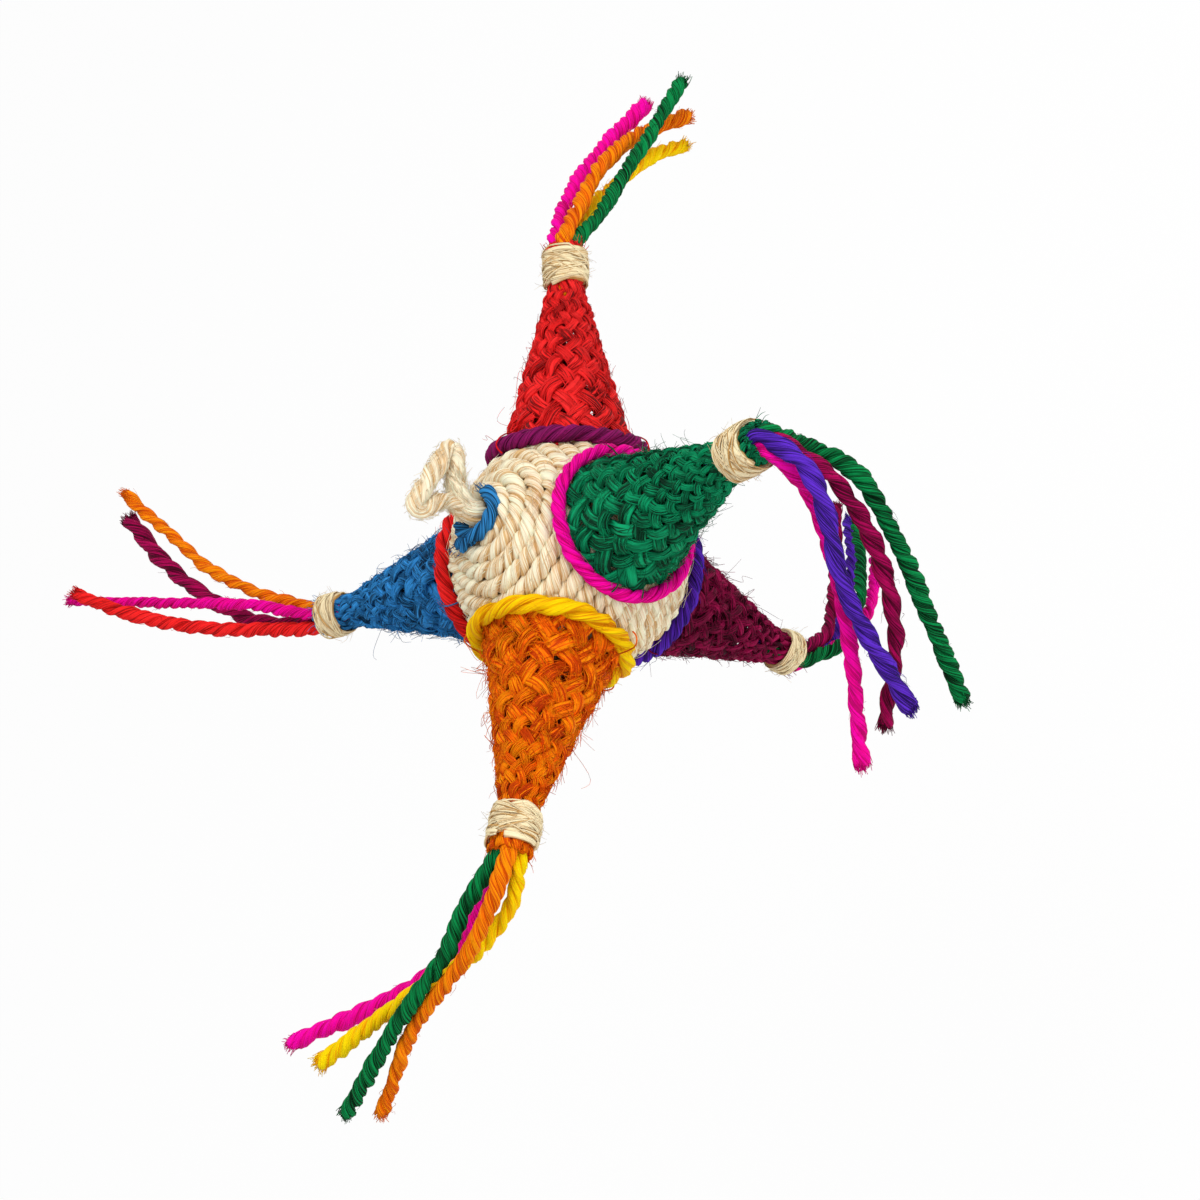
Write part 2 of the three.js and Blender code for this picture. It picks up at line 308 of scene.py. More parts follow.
def sidesOf(line, guide):
    # the guide made square to the tangent, and the tangent crossed with it
    ahead = unit(np.gradient(line, axis=0))
    guide = np.broadcast_to(guide, line.shape)
    first = unit(guide - (guide * ahead).sum(-1, keepdims=True) * ahead)
    return ahead, first, np.cross(ahead, first)


def unevenRidges(rng, run, size, tubeCount, sides):
    # fibre ridges: each point of a section keeps its own height and drifts a little along
    own = rng.normal(0, size, (tubeCount, 1, sides))
    drift = wander(rng, run, 0.7 * size, 9, (tubeCount, sides))
    return own + np.swapaxes(drift, 1, 2)


def evenAngles(count):
    return fullTurn * np.arange(count) / count


def bandSides(lines, outward):
    # across bands that run along lines (bands, rings, 3), and up from them
    ahead = unit(np.gradient(lines, axis=1))
    side = unit(np.cross(outward, ahead))
    return side, np.cross(ahead, side)


def ovalTubes(lines, side, lift, wide, tall):
    # a section at every ring: line + side wide + lift tall, one of each for every corner
    across = side[:, :, None] * wide[..., None]
    return lines[:, :, None] + across + lift[:, :, None] * tall[..., None]


def roundTubes(lines, side, lift, radius, sides):
    section = evenAngles(sides)
    return ovalTubes(lines, side, lift, radius * np.cos(section), radius * np.sin(section))


# shared by all ropes: how far plies slip round the line, over how many lays they slip and
# swell, the stretch that flares, and how far out, as a share, the tone is the dye's own;
# nearer the middle of the rope it falls, as painted shade in the grooves
ropeHabits = dict(slip=0.3, slipLays=3, swellLays=2.5, flareStretch=7, level=0.95)


def laidRope(line, guide, rope, rng):
    # Ply k winds left-handed about the line: line + r (cos a N + sin a B) with a = full turn
    # (k / plies - s / lay), and its section is a circle with uneven fibre ridges. Slack eases
    # the first turns, flare opens the last stretch, taper scales r from start to end, growth
    # scales r and the plies, and dome and closing round off the ends of the plies.
    # Tone falls towards the middle of the rope, so that its grooves are deeper in colour:
    # painted shade between the plies.
    run = runOf(line)
    ahead, first, second = sidesOf(line, guide)
    plies, lay, sides = rope["plies"], rope["lay"], rope["sides"]
    slack = rope.get("slack", 0.01)
    turned = run - slack * (1 - np.exp(-run / slack))
    share = np.arange(plies)[:, None] / plies
    slip = wander(rng, run, ropeHabits["slip"], ropeHabits["slipLays"] * lay, (plies,))
    angle = fullTurn * (share - turned / lay) + slip
    ending = np.clip(1 - (run[-1] - run) / ropeHabits["flareStretch"], 0, 1) ** 2
    swell = wander(rng, run, rope["uneven"], ropeHabits["swellLays"] * lay, (plies,))
    swell = 1 + swell + ending * rope.get("flare", 0)
    taper = np.linspace(1, rope.get("taper", 1), len(run))
    grown = np.linspace(1, rope.get("growth", 1), len(run))
    rest = np.clip((run[-1] - run) / rope.get("dome", 0.001), 0, 1)
    closing = np.sqrt(1 - rope.get("closing", 0) * (1 - rest) ** 2)
    away = np.cos(angle)[..., None] * first + np.sin(angle)[..., None] * second
    centre = line + rope["offset"] * away * (swell * taper * grown)[..., None]
    plyAhead = unit(np.gradient(centre, axis=1))
    plyOut = unit(away - (away * plyAhead).sum(-1, keepdims=True) * plyAhead)
    plySide = np.cross(plyAhead, plyOut)
    girth = (rope["ply"] * swell * grown * closing)[..., None] * (
        1 + unevenRidges(rng, run, rope["ridge"], plies, sides)
    )
    section = evenAngles(sides) + np.pi
    points = ovalTubes(
        centre, plyOut, plySide, girth * np.cos(section), girth * np.sin(section)
    )
    along = run + rng.uniform(0, 400, (plies, 1))
    outside = rope["offset"] + rope["ply"]
    grooveShade = np.linalg.norm(points - line[:, None], axis=-1) / outside - ropeHabits["level"]
    # painted shade: the tone drops where a point lies deep between the plies
    tone = rng.uniform(0.3, 0.7, (plies, 1, 1)) + rope.get("grooveShade", 0.8) * grooveShade
    return batch(points, along, fullTurn * rope["ply"], tone)


def strayFibres(roots, leads, lifts, lengths, fibre, rng, sag=0.0):
    # A fibre leaves its root along lead, bends towards lift and wavers: root + L (lead t
    # + lift t (1 - 0.5 t) + curl waver t^2) - sag t^2, with a sine wave of half the curl on
    # that. It is three-sided and thins to its end.
    count, curl, rings = len(roots), fibre["curl"], fibre.get("rings", 6)
    t = np.linspace(0, 1, rings)[None, :, None]
    waver = unit(rng.normal(size=(count, 3)))[:, None]
    second = unit(rng.normal(size=(count, 3)))[:, None]
    waves = rings * rng.uniform(0.05, 0.14, (count, 1, 1))
    lines = roots[:, None] + lengths[:, None, None] * (
        leads[:, None] * t
        + lifts[:, None] * t * (1 - 0.5 * t)
        + curl * waver * t**2
        + 0.5 * curl * second * np.sin(fullTurn * t * waves)
    ) - np.broadcast_to(sag, roots.shape)[:, None] * t**2
    radius = fibre["thick"] * (1 - 0.55 * t)
    points = roundTubes(lines, *bandSides(lines, -(waver + 0.01)), radius, 3)
    along = np.broadcast_to(np.linspace(0, 5, rings), (count, rings))
    return batch(points, along, 0.4, rng.uniform(0.2, 1.0, count))


def ropeHairs(line, guide, hairs, rng, size=1.0):
    # Fibres that stand off a rope's side. span is the number of points left bare at its start
    # and end, and reach the distance of the roots from the line there.
    count, (bare, last) = hairs["count"], hairs["span"]
    pick = rng.integers(bare, len(line) - last, count)
    ahead, first, second = sidesOf(line, guide)
    spin = rng.uniform(0, fullTurn, count)
    outward = np.cos(spin)[:, None] * first[pick] + np.sin(spin)[:, None] * second[pick]
    near, far = hairs["reach"]
    reach = (near + (far - near) * pick / len(line))[:, None] * size
    leads = ahead[pick]
    if hairs.get("bothWays"):
        leads = leads * rng.choice([-1, 1], (count, 1))
    lengths = rng.uniform(*hairs["length"], count)
    return strayFibres(
        line[pick] + outward * reach, leads, outward * hairs["lift"], lengths, hairs, rng
    )


# The five points of the star. turn and lift are those of the axis, in degrees, and clock that
# of the first cord round the mouth; ring, ringLays and ringSize are the dye, lays and size of
# the ring, and stitches the places of its sewing yarns. neck, bind and rim are the radius of
# the cone's neck and the heights of its binding and woven edge; strands, width and unruly make
# the weave, and fuzz, lying and curls count its loose fibres. bend is the stretch, from the
# hinge, in which the tassel bends, and stops are a cord's route from the mouth to its end.
points = dict(
    green=dict(
        turn=0, lift=10.2, clock=0, ring="magenta", ringLays=10, ringSize=0.86,
        stitches=(175, 196, 284, 20), neck=4.1, bind=(60.6, 70.4), rim=72.6, strands=13,
        width=0.74, unruly=0.16, fuzz=420, fuzzReach=3.6, lying=160, curls=34,
        look=dict(gloss=0.1, pale=2.1), bend=[(3, -1.5, -2.5), (6, -7, -11)],
        cords=dict(
            green=dict(
                lay=8.9, size=1.04, mouth=1.0,
                stops=[
                    [74, 1.5, 2], [78, -2, -6], [77.5, -11.5, -18.5], [75, -21, -30],
                    [70.5, -34.5, -47],
                ],
            ),
            violet=dict(
                plies=2, lay=17.0, size=1.16, growth=0.94, mouth=1.8,
                stops=[[78.5, -6, 8.5], [77.5, -14, 0.5], [72, -24, -11], [68.5, -40, -34.5]],
            ),
            magenta=dict(
                plies=2, lay=12.5, size=0.96,
                stops=[[72.5, -6.5, 2], [69, -17, -10], [63.5, -30, -21.5], [54, -48, -36]],
            ),
            purple=dict(
                plies=2, lay=14.0, size=1.16, growth=0.84, mouth=2.0,
                stops=[
                    [76.5, -4.5, -1.5], [74.5, -13, -15.5], [68.5, -23.5, -28.5],
                    [56.5, -39, -39.5],
                ],
            ),
        ),
    ),
    red=dict(
        turn=88, lift=9.8, clock=45, ring="deepPurple", ringLays=10, ringSize=1.06,
        stitches=(87, 205, 320), neck=3.8, bind=(59.8, 68.6), rim=69.5, strands=12, width=0.79,
        unruly=0.16, fuzz=300, fuzzReach=3.4, lying=140, curls=8,
        look=dict(gloss=0.1, rough=0.6), bend=[(0, -4, -0.7), (0, 5, 0.8)],
        cords=dict(
            magenta=dict(
                lay=7.6, size=0.84, growth=1.34,
                stops=[[-3.5, 82.5, 8.5], [-6, 96, 1.5], [-6.5, 107.5, -5.5], [-5, 119.5, -13]],
            ),
            orange=dict(
                lay=9.2, size=1.1, growth=0.9,
                stops=[[1.5, 81.5, 8], [0.5, 94.5, 2], [-1, 107.5, -8.5], [2, 117, -20]],
            ),
            green=dict(
                lay=7.2, size=0.92,
                stops=[[4, 80, 4], [3.5, 92, -1.5], [4, 104, -7], [7, 121, -13]],
            ),
            yellow=dict(
                lay=10.0, size=0.86, growth=1.14,
                stops=[[-3, 84, 2], [-5, 96, -7], [-5, 107, -16], [-4, 114, -25]],
            ),
        ),
    ),
    blue=dict(
        turn=180.8, lift=10.9, clock=0, ring="red", ringLays=8, ringSize=1.0,
        stitches=(51, 170, 290), neck=3.7, bind=(62.6, 68.6), rim=69.4, curls=26, strands=13,
        width=0.79, unruly=0.22, fuzz=480, fuzzReach=4.0, lying=460, look=dict(streak=4.2),
        bend=[(4, 0, -0.7), (-5, 0, 0.8)],
        cords=dict(
            red=dict(
                lay=10.5, size=0.94,
                stops=[
                    [-88, -1, 20], [-98.5, 0, 26.5], [-112, 3.5, 36.5], [-118, 6, 41.5],
                    [-122, 8, 45],
                ],
            ),
            magenta=dict(
                lay=7.6, size=0.84, growth=0.8,
                stops=[[-84, 3, 23], [-97, 5, 28], [-116.5, 8, 35], [-130.5, 10, 41]],
            ),
            orange=dict(
                plies=2, lay=10.5, size=0.88,
                stops=[[-84.5, 7, 18], [-98.5, 15, 25], [-109, 25, 31], [-119, 35, 38]],
            ),
            purple=dict(
                plies=2, lay=15.0, size=0.98, growth=1.16,
                stops=[[-90, 3, 15], [-104, 11, 22], [-115, 21, 28], [-124, 32, 33]],
            ),
        ),
    ),
    orange=dict(
        turn=272.2, lift=8.2, clock=45, ring="yellow", ringLays=6, ringSize=1.16,
        stitches=(140, 260, 330), neck=4.2, bind=(60.4, 69.2), rim=71.0, curls=30, strands=12,
        width=0.81, unruly=0.2, fuzz=300, fuzzReach=4.2, lying=1000,
        look=dict(deepTone=(188, 58, 0), spread=0.4, broad=1.0),
        bend=[(0, 4, -0.7), (0, -5, 0.8)],
        cords=dict(
            orange=dict(
                lay=9.6, size=1.1, growth=0.82,
                stops=[[0, -80, 11], [-10.5, -89.5, 8.5], [-28.5, -99, 5], [-47, -113, -3]],
            ),
            green=dict(
                lay=9.6, size=1.03,
                stops=[[-6.5, -78.5, 12], [-14, -88, 10.5], [-28.5, -98, 8.5], [-54, -113, 1]],
            ),
            magenta=dict(
                plies=2, lay=10.8, size=0.82, growth=1.45,
                stops=[[-10.5, -75, 5], [-21.5, -82.5, 1], [-40, -90, 2], [-66.5, -98, 8.5]],
            ),
            yellow=dict(
                lay=11.0, size=0.88, growth=1.24,
                stops=[[-1, -78, 5], [-13.5, -86.5, 4], [-30, -93, 6], [-55, -104, 8.5]],
            ),
        ),
    ),
    purple=dict(
        turn=0, lift=-90, clock=45, ring="violet", ringLays=10, ringSize=0.92,
        stitches=(162, 30, 270), neck=3.7, bind=(61.0, 65.8), rim=66.6, curls=20, strands=13,
        width=0.5, unruly=0.26, fuzz=420, fuzzReach=3.4, lying=700,
        look=dict(gloss=0.1, rough=0.6), bend=[(0, 0, 1), (-1, 7, -5)],
        cords=dict(
            purple=dict(
                lay=10.0, size=0.96, growth=0.78,
                stops=[[0, 9, -76], [-3, 21, -80], [-6, 34, -83], [-10, 47, -86]],
            ),
            green=dict(
                lay=8.0, size=0.9, growth=0.84,
                stops=[[4.5, 6, -77], [4.5, 17, -81], [1, 30, -84], [-4.5, 42, -87.5]],
            ),
            magenta=dict(
                lay=9.0, size=0.82,
                stops=[[1.5, 7.5, -79.5], [1, 17, -87], [-2.5, 30, -92.5], [-6, 39.5, -95.5]],
            ),
            violet=dict(
                lay=11.0, size=0.82,
                stops=[[-5, 9, -82], [-6.5, 23, -87.5], [-10, 36, -92], [-15.5, 49, -95.5]],
            ),
        ),
    ),
)

# heights along a point's axis and radii round it, shared by the five points
tip = dict(
    ringHeight=21.77, ringRadius=15.8, coneFoot=21.76, coneBase=13.9, neckFoot=59.26, rim=69.91,
    hinge=74.81,
)


def axesOf(point):
    # rows: across the point, up its side and out along it
    a, e = np.radians(point["turn"]), np.radians(point["lift"])
    along = np.array([np.cos(e) * np.cos(a), np.cos(e) * np.sin(a), np.sin(e)])
    across = np.array([-np.sin(a), np.cos(a), 0.0])
    return np.stack([across, np.cross(along, across), along])


def onPoint(axes, angle, radius, height):
    # cylinder coordinates round the point's axis to the ball's frame
    flat = radius * np.cos(angle), radius * np.sin(angle)
    return np.stack(np.broadcast_arrays(*flat, height), -1) @ axes


# camera: fitted to the tips and rings in the photograph
view = dict(
    right=(0.6644, 0.0869, -0.7423), back=(0.7059, -0.3991, 0.5852), place=(6.3, -9.31, 700.0),
    lens=100.0,
)


def placed(axes, place):
    # matrix of an object at place whose own axes are the rows of axes
    return Matrix([[*axes[:, k], place[k]] for k in range(3)] + [[0, 0, 0, 1]])


def makeCamera():
    back = unit(np.array(view["back"]))
    right = np.array(view["right"])
    right = unit(right - (right @ back) * back)
    axes = np.stack([right, np.cross(back, right), back])
    camera = bpy.data.objects.new("camera", bpy.data.cameras.new("camera"))
    bpy.context.scene.collection.objects.link(camera)
    camera.data.sensor_width, camera.data.lens = 36, view["lens"]
    camera.data.clip_start, camera.data.clip_end = 0.01, 50
    camera.matrix_world = placed(axes, toFrame(np.array(view["place"]) @ axes))
    bpy.context.scene.camera = camera
    return axes


viewAxes = makeCamera()
print("camera placed")

# tassel cords: laid twine, each held in its tip by its root. A cord's own plies, lay, size,
# growth from start to end and distance of its mouth from the tip's axis are with its route.
cordTwine = dict(
    plies=3, lay=9.2, offset=0.86, ply=0.92, ridge=0.06, sides=14, uneven=0.1, slack=7.0,
    flare=0.08, dome=1.4, closing=0.9, grooveShade=1.6, spacing=0.5, diameter=3.0, size=1.0,
    growth=1.0, mouth=2.4, mouthRise=0.6, heldReach=1.72, heldDepths=(13, 8), lipReach=1.8,
    lipDepth=3.2, lead=3.4, leadOut=0.15,
)
# two plies press flat against each other, so each is thicker and nearer to the line
twoPly = dict(offset=0.62, ply=1.16)
cordBristles = dict(
    count=130, steps=(2, 7), reach=(0.55, 1.05), lift=(-0.35, 0.15), past=(-0.3, 1.5),
    thick=0.15, curl=0.16,
)
cordHairs = dict(
    count=36, span=(40, 6), reach=(1.45, 1.45), lift=0.35, length=(1.0, 2.6), thick=0.06,
    curl=0.42, rings=9,
)
cordDyes = dict(green="deepGreen", orange="brightOrange", yellow="brightYellow", purple="plum")


def cordLine(axes, point, angle, twine):
    # from the root inside the tip, past the lip and out of the mouth, then through the stops
    held = [
        onPoint(axes, angle, twine["heldReach"], tip["rim"] - depth)
        for depth in twine["heldDepths"]
    ]
    lip = onPoint(axes, angle, twine["lipReach"], point["rim"] - twine["lipDepth"])
    mouth = onPoint(axes, angle, twine["mouth"], point["rim"] + twine["mouthRise"])
    # the lead out of the tip eases towards the first stop
    away = unit(np.array(twine["stops"][0]) - mouth)
    fan = mouth + twine["lead"] * (twine["leadOut"] * axes[2] + (1 - twine["leadOut"]) * away)
    return mouth, smoothLine([*held, lip, mouth, fan, *twine["stops"]], twine["spacing"])


def frayedEnd(rope, twine, rng):
    # bristles lie along the last stretch of each ply and pass its end
    centres = rope["points"].mean(axis=2)
    count = cordBristles["count"]
    ply = rng.integers(0, twine["plies"], count)
    step = rng.integers(*cordBristles["steps"], count)
    lead = unit(centres[ply, -1] - centres[ply, -1 - step])
    outward = unit(np.cross(lead, unit(rng.normal(size=(count, 3)))))
    reach = twine["ply"] * twine["growth"] * rng.uniform(*cordBristles["reach"], (count, 1))
    return strayFibres(
        centres[ply, -1 - step] + outward * reach,
        lead,
        outward * rng.uniform(*cordBristles["lift"], (count, 1)),
        twine["spacing"] * step + rng.uniform(*cordBristles["past"], count),
        cordBristles, rng,
    )


def tasselCords():
    rng = np.random.default_rng(11)
    for name, point in points.items():
        axes = axesOf(point)
        for k, (dye, cord) in enumerate(point["cords"].items()):
            twine = {**cordTwine, **(twoPly if cord.get("plies") == 2 else {}), **cord}
            twine.update({key: twine[key] * twine["size"] for key in ("offset", "ply")})
            mouth, line = cordLine(axes, point, np.radians(point["clock"] + 90 * k), twine)
            guide = steadyGuide(line)
            rope = laidRope(line, guide, twine, rng)
            bristles = frayedEnd(rope, twine, rng)
            hairs = ropeHairs(line, guide, cordHairs, rng, twine["size"])
            finish = finishFor(cordDyes.get(dye, dye))
            made = makePiece(f"{name}_twine_{dye}", [rope, bristles, hairs], finish)
            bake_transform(made)
            # the first cord of a tip also stands for the roots of all four
            roots = [f"{name}_cord_roots"] if k == 0 else []
            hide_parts(f"{name}_cord_{dye}", *roots)


tasselCords()
print("tassel cords made")

# ball: one rope wound from pole to pole at a steady pitch, made as two halves
winding = dict(
    plies=3, lay=8.2, offset=1.0, ply=1.08, ridge=0.07, sides=14, uneven=0.08, spacing=0.65,
    grooveShade=2.2, radius=23.5, pitch=3.45, topReach=4.6, footReach=6.0, steps=9000, drift=0.16,
)
ballFuzz = dict(
    count=420, margin=20, length=(2, 7), reach=1.75, scatter=0.5, stray=0.25, lift=(0, 0.2),
    thick=0.08, curl=0.16, bend=55,
)


def ballHairs(line, rng):
    # fibres along the rope that follow the ball's curve: they sag by length squared / bend
    count = ballFuzz["count"]
    pick = rng.integers(ballFuzz["margin"], len(line) - ballFuzz["margin"], count)
    ahead = unit(np.gradient(line, axis=0))[pick] * rng.choice([-1, 1], (count, 1))
    outward = unit(line)[pick]
    aside = np.cross(outward, ahead)
    lengths = rng.uniform(*ballFuzz["length"], count)
    return strayFibres(
        line[pick]
        + outward * ballFuzz["reach"]
        + aside * rng.normal(0, ballFuzz["scatter"], (count, 1)),
        ahead + aside * rng.normal(0, ballFuzz["stray"], (count, 1)),
        outward * rng.uniform(*ballFuzz["lift"], (count, 1)),
        lengths, ballFuzz, rng, outward * (lengths**2 / ballFuzz["bend"])[:, None],
    )


def ballWinding():
    rng = np.random.default_rng(23)
    r, pitch = winding["radius"], winding["pitch"]
    first = np.arcsin(winding["topReach"] / r)
    final = np.pi - np.arcsin(winding["footReach"] / r)
    t = np.linspace(0, (final - first) * r / pitch, winding["steps"])
    # polar angle grows by one pitch a turn; direction is that of a spiral on a sphere
    polar = first + pitch * t / r + wander(rng, t * 100, winding["drift"], 40) / r
    reach = r + wander(rng, t * 100, winding["drift"], 30)
    spin = fullTurn * t
    way = np.stack(
        [np.sin(polar) * np.sin(spin), -np.sin(polar) * np.cos(spin), np.cos(polar)], -1
    )
    whole = evenly(way * reach[:, None], winding["spacing"])
    half = len(whole) // 2
    halves = {"ball_rope_upper": whole[: half + 1], "ball_rope_lower": whole[half:]}
    for name, line in halves.items():
        rope = laidRope(line, unit(line), winding, rng)
        ball = makePiece(name, [rope, ballHairs(line, rng)], finishFor("cream"))
        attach(ball, "star")
        if name == "ball_rope_upper":
            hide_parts("ball_winding")
    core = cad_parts["ball_core"]
    core.data.materials.clear()
    core.data.materials.append(coreFinish())


def coreFinish():
    # packed fibre under the rope: noise between two tones of cream, with bump. Both tones, the
    # cream's warm shade tone and a darkened cream, are painted shade for the gaps between rows
    material, sheet = emptyMaterial("packed_fibre")
    spot = sheet.node("TexCoord", out="Object")
    grain = sheet.node("TexNoise", {}, {"Vector": spot, "Scale": 700.0, "Detail": 4.0})
    base = linear(dyes["cream"])
    colour = sheet.node(
        "ValToRGB",
        {"stops": [(0.2, linear(dyeLooks["cream"]["deepTone"])), (0.8, base * 0.9)]},
        {"Fac": grain},
    )
    bump = sheet.node("Bump", {}, {"Strength": 0.6, "Distance": 0.0004, "Height": grain})
    surface = sheet.node(
        "BsdfPrincipled",
        {},
        {"Base Color": colour, "Roughness": 0.85 + grain * 0.1, "Normal": bump},
    )
    sheet.node("OutputMaterial", {}, {"Surface": surface})
    return material


ballWinding()
print("ball wound")

# woven cones: two families of strands, leaning either way, each a flat bundle of fibres
# with a few yarns that stray from it, over a lining painted dark as the shade inside the cone
weave = dict(
    steps=92, sides=10, thick=1.5, lift=0.8, ridge=0.14, swell=0.14, rise=0.2, runScale=12,
    tone=(0.5, 0.22), girth=2.4, outwardLean=0.25, leanFoot=46, leanHead=38, leanNeck=24,
    leanBreak=0.85, wall=1.05, slimming=0.45, footDepth=0.9, footSpread=0.6, spreadReach=2.5,
    fibreStand=0.15, fibrePull=0.8,
)
strayYarn = dict(count=7, radius=0.15, place=0.8, wander=0.3, stand=0.05)
# the lining's low tone paints it dark: painted shade inside the cone
lining = dict(
    steps=44, strands=12, gap=2.6, cover=0.34, thick=0.25, foot=1.5, head=7, runScale=1.4,
    girth=8.0, tone=0.1,
)
# loose fibres of a cone: fuzz stands off the weave, lying ones follow its curve, and a few
# long ones curl; rim fibres fringe the woven edge
coneFibres = dict(
    fuzz=dict(lift=(0.05, 0.6), length=(0.35, 1), thick=0.07, curl=0.45, follow=0),
    lying=dict(lift=(0.02, 0.16), length=(2, 6), thick=0.1, curl=0.16, follow=0.8),
    curls=dict(lift=(0.3, 0.8), length=(3, 7), thick=0.075, curl=0.9, follow=0, rings=12),
)
rimFibres = dict(
    count=36, reach=(3.6, 4.5), depth=0.7, lean=0.3, length=(0.8, 2.2), thick=0.09, curl=0.4,
)


def coneRadius(height, neck):
    # straight from foot to neck, then level; the foot spreads a little under its ring
    slope = (height - tip["coneFoot"]) / (tip["neckFoot"] - tip["coneFoot"])
    above = np.maximum(height - tip["coneFoot"], 0)
    spread = weave["footSpread"] * np.exp(-above / weave["spreadReach"])
    return tip["coneBase"] + (neck - tip["coneBase"]) * np.clip(slope, 0, 1) + spread


def strandPath(point):
    # a strand's turn round the axis grows by tan(lean) / radius for each mm of height
    foot, head = tip["coneFoot"], tip["neckFoot"]
    dense = np.linspace(foot - weave["footDepth"], point["rim"], 1200)
    up = np.clip((dense - foot) / (head - foot), 0, 1)
    leans = [weave["leanFoot"], weave["leanHead"], weave["leanNeck"]]
    lean = np.radians(np.interp(up, [0, weave["leanBreak"], 1], leans))
    rate = np.tan(lean) / coneRadius(dense, point["neck"])
    turns = np.concatenate([[0], np.cumsum((rate[1:] + rate[:-1]) / 2 * np.diff(dense))])
    turn = np.linspace(0, turns[-1], weave["steps"])
    height = np.interp(turn, turns, dense)
    slim = np.interp(height, dense, 1 - weave["slimming"] * up)
    return {"turn": turn, "height": height, "slim": slim, "lean": (dense, lean)}


def strandFamily(axes, point, path, family, rng):
    # Family one rides out by lift cos(n turn) where family two dips by as much. A bundle is a
    # flat oval with uneven ridges, and its stray yarns wander over the top of it.
    count, strays = point["strands"], strayYarn["count"]
    turn, height, slim = path["turn"], path["height"], path["slim"]
    radius = coneRadius(height, point["neck"]) - weave["wall"] * slim
    gap = fullTurn * radius / count * np.cos(np.interp(height, *path["lean"]))
    width = gap * point["width"]
    run = turn * weave["runScale"]
    drift = wander(rng, run, point["unruly"], 14, (count,)) * gap / radius
    rise = family * weave["lift"] * slim * np.cos(count * turn)
    rise = rise + wander(rng, run, weave["rise"], 12, (count,))
    angle = evenAngles(count)[:, None] + family * turn + drift
    line = onPoint(axes, angle, radius + rise, height)
    outward = onPoint(axes, angle, 1.0, weave["outwardLean"])
    side, lift = bandSides(line, outward)
    section = evenAngles(weave["sides"])
    ridge = 1 + unevenRidges(rng, run, weave["ridge"], count, weave["sides"])
    swell = 1 + wander(rng, run, weave["swell"], 10, (count,))
    half = weave["thick"] / 2 * slim
    wide = (width / 2 * swell)[..., None] * np.cos(section) * ridge
    bundle = ovalTubes(line, side, lift, wide, half[:, None] * np.sin(section) * ridge)
    steps = np.linalg.norm(np.diff(line, axis=1, prepend=line[:, :1]), axis=2)
    along = np.cumsum(steps, axis=1) + rng.uniform(0, 300, (count, 1))
    tone = np.clip(rng.normal(*weave["tone"], count), 0, 1)
    bundles = batch(bundle, along, weave["girth"] * width.mean(), tone)
    place = np.linspace(-strayYarn["place"], strayYarn["place"], strays)[:, None]
    place = place + wander(rng, run, strayYarn["wander"], 13, (count, strays))
    over = half * (np.sqrt(np.clip(1 - place**2, 0, 1)) + strayYarn["stand"])
    yarn = line[:, None] + side[:, None] * (place * width / 2)[..., None]
    yarn = (yarn + lift[:, None] * over[..., None]).reshape(count * strays, -1, 3)
    yarnSides = bandSides(yarn, np.repeat(outward, strays, axis=0))
    yarns = batch(
        roundTubes(yarn, *yarnSides, strayYarn["radius"], 3),
        np.repeat(along, strays, axis=0), 1.0, rng.uniform(0.3, 1, count * strays),
    )
    return [bundles, yarns]


def coneLining(axes, point, path):
    # wide flat strands inside the weave, all leaning one way; their low tone is painted shade
    count = lining["strands"]
    foot, head = tip["coneFoot"] + lining["foot"], tip["neckFoot"] - lining["head"]
    high = np.linspace(foot, head, lining["steps"])
    inside = coneRadius(high, point["neck"]) - lining["gap"]
    spin = np.interp(high, path["height"], path["turn"]) + evenAngles(count)[:, None]
    line = onPoint(axes, spin, inside, high)
    side, lift = bandSides(line, onPoint(axes, spin, 1.0, weave["outwardLean"]))
    wide = fullTurn * inside / count * np.cos(np.interp(high, *path["lean"])) * lining["cover"]
    section = evenAngles(6)
    tall = lining["thick"] * np.sin(section)
    strands = ovalTubes(line, side, lift, wide[:, None] * np.cos(section), tall)
    along = np.broadcast_to(high * lining["runScale"], spin.shape)
    return batch(strands, along, lining["girth"], np.full(count, lining["tone"]))


def looseFibres(axes, neck, lifts, lengths, style, rng):
    # rooted evenly over the cone; one that follows it sags by its run round the axis squared
    # over the cone's width there
    count = len(lengths)
    foot, head = tip["coneFoot"], tip["neckFoot"]
    high = head - (head - foot) * np.sqrt(rng.uniform(0, 1, count))
    spin = rng.uniform(0, fullTurn, count)
    outward = onPoint(axes, spin, 1.0, weave["outwardLean"])
    around = np.cross(axes[2], outward)
    leads = around * rng.uniform(-1, 1, (count, 1))
    leads = unit(leads + axes[2] * rng.uniform(-0.8, 1, (count, 1)))
    reach = coneRadius(high, neck)
    sag = style["follow"] * lengths**2 * (leads * unit(around)).sum(-1) ** 2 / (2 * reach)
    return strayFibres(
        onPoint(axes, spin, reach + weave["fibreStand"], high), leads * weave["fibrePull"],
        outward * lifts[:, None], lengths, style, rng, outward * sag[:, None],
    )


def rimFringe(axes, rim, rng):
    count = rimFibres["count"]
    spin = rng.uniform(0, fullTurn, count)
    outward = onPoint(axes, spin, 1.0, 0.0)
    reach = rng.uniform(*rimFibres["reach"], count)
    lean = outward * rimFibres["lean"]
    return strayFibres(
        onPoint(axes, spin, reach, rim - rimFibres["depth"]), axes[2] + lean, lean,
        rng.uniform(*rimFibres["length"], count), rimFibres, rng,
    )


